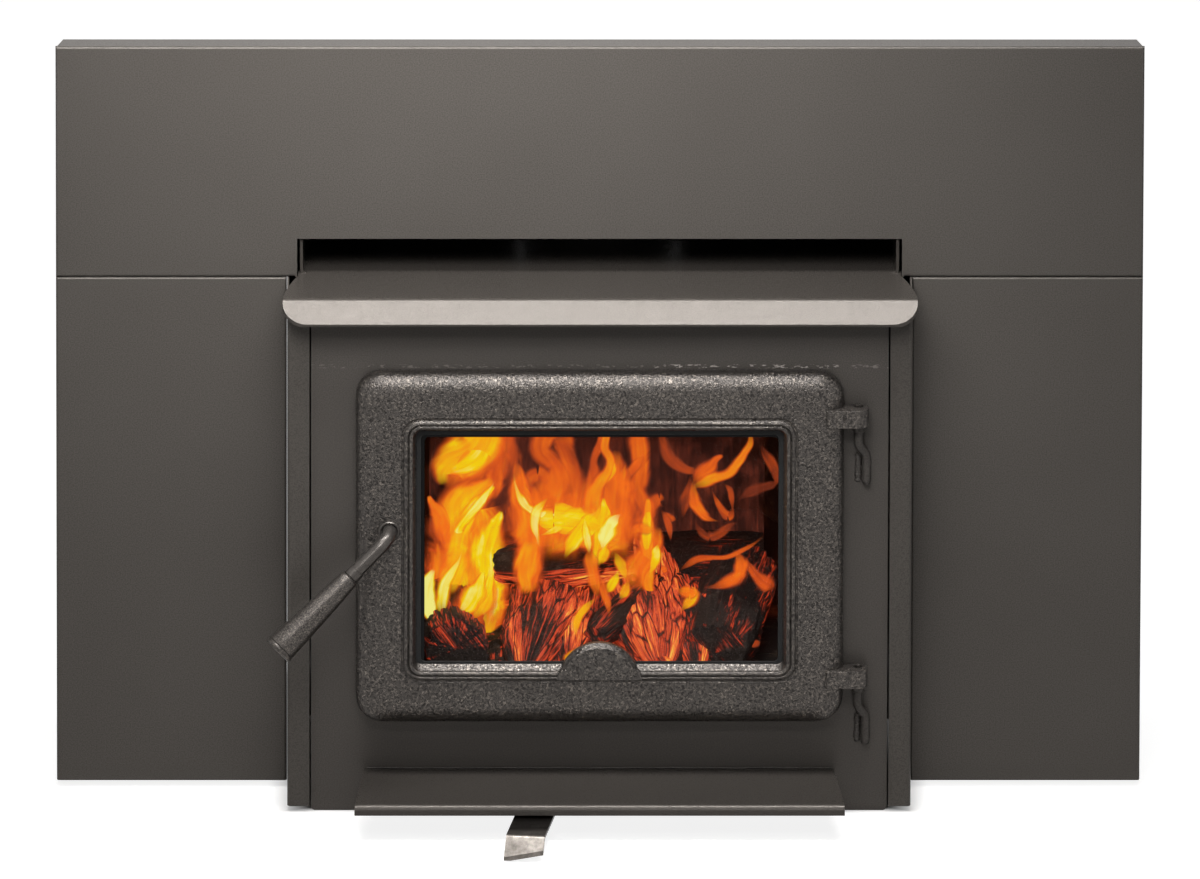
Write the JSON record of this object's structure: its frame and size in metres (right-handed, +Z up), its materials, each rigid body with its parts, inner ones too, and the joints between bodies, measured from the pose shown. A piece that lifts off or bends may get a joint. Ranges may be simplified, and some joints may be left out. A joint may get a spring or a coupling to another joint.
{
  "type": "fireplace insert",
  "caption": "Wood-burning fireplace insert: brick-lined firebox with a glazed cast door, folded steel surround, hood, ash lip and air lever.",
  "frame": {"origin": "on the hearth, on the underside of the base pan, under the middle of the surround's front face", "axes": "+X to the right, +Y into the fireplace, +Z up"},
  "size_m": [1.118, 0.6389, 0.798],
  "materials": {
    "stove_paint": "metallic brown stove paint on sheet steel",
    "dark_paint": "matt black stove paint",
    "door_iron": "painted, coarse cast surface",
    "pin_steel": "painted round bar",
    "handle_steel": "painted, textured",
    "bare_steel": "heat-tinted steel",
    "firebrick": "pressed refractory brick",
    "baffle_board": "pressed vermiculite",
    "gasket": "woven glass-fibre rope and tape",
    "door_glass": "clear heat-resistant glass ceramic"
  },
  "bodies": {
    "body": {"surround_top_panel": "stove_paint", "surround_left_panel": "stove_paint", "surround_right_panel": "stove_paint", "hood": "stove_paint", "casing_left": "stove_paint", "casing_right": "stove_paint", "casing_back": "dark_paint", "casing_top": "dark_paint", "face_plate": "stove_paint", "firebox_left": "dark_paint", "firebox_right": "dark_paint", "firebox_back": "dark_paint", "firebox_top": "dark_paint", "firebox_floor": "dark_paint", "base_pan": "dark_paint", "flue_collar": "dark_paint", "brick_left_front_lower": "firebrick", "brick_left_rear_lower": "firebrick", "brick_back_left_lower": "firebrick", "brick_right_front_lower": "firebrick", "brick_right_rear_lower": "firebrick", "brick_back_right_lower": "firebrick", "brick_left_front_upper": "firebrick", "brick_left_rear_upper": "firebrick", "brick_back_left_upper": "firebrick", "brick_right_front_upper": "firebrick", "brick_right_rear_upper": "firebrick", "brick_back_right_upper": "firebrick", "brick_floor_left_1": "firebrick", "brick_floor_right_1": "firebrick", "brick_floor_left_2": "firebrick", "brick_floor_right_2": "firebrick", "brick_floor_left_3": "firebrick", "brick_floor_right_3": "firebrick", "air_tube_1": "bare_steel", "air_tube_2": "bare_steel", "air_tube_3": "bare_steel", "baffle_board_left": "baffle_board", "baffle_board_right": "baffle_board", "air_channel": "dark_paint", "air_lever_pivot": "bare_steel", "ash_lip": "stove_paint", "hinge_pin_upper": "pin_steel", "hinge_pin_lower": "pin_steel"},
    "door": {"door_casting": "door_iron", "door_gasket": "gasket", "glass_gasket": "gasket", "door_glass": "door_glass", "glass_retainer_top": "bare_steel", "glass_retainer_bottom": "bare_steel"},
    "handle": {"handle_rod": "handle_steel", "handle_washer": "handle_steel", "handle_ferrule": "handle_steel", "handle_grip": "handle_steel", "latch_cam": "bare_steel", "latch_nut": "bare_steel"},
    "lever": {"air_lever": "bare_steel"}
  },
  "joints": [
    {"name": "door_swing", "type": "hinge", "parent": "body", "child": "door", "pos_m": [0.266, -0.09, 0.29], "axis": [0, 0, 1], "range_deg": [0, 100]},
    {"name": "handle_turn", "type": "hinge", "parent": "door", "child": "handle", "pos_m": [-0.216, -0.105, 0.31], "axis": [0, 1, 0], "range_deg": [0, 90]},
    {"name": "air_lever_swing", "type": "hinge", "parent": "body", "child": "lever", "pos_m": [-0.04, 0.02, 0.0225], "axis": [0, 0, 1], "range_deg": [-10, 14]}
  ]
}
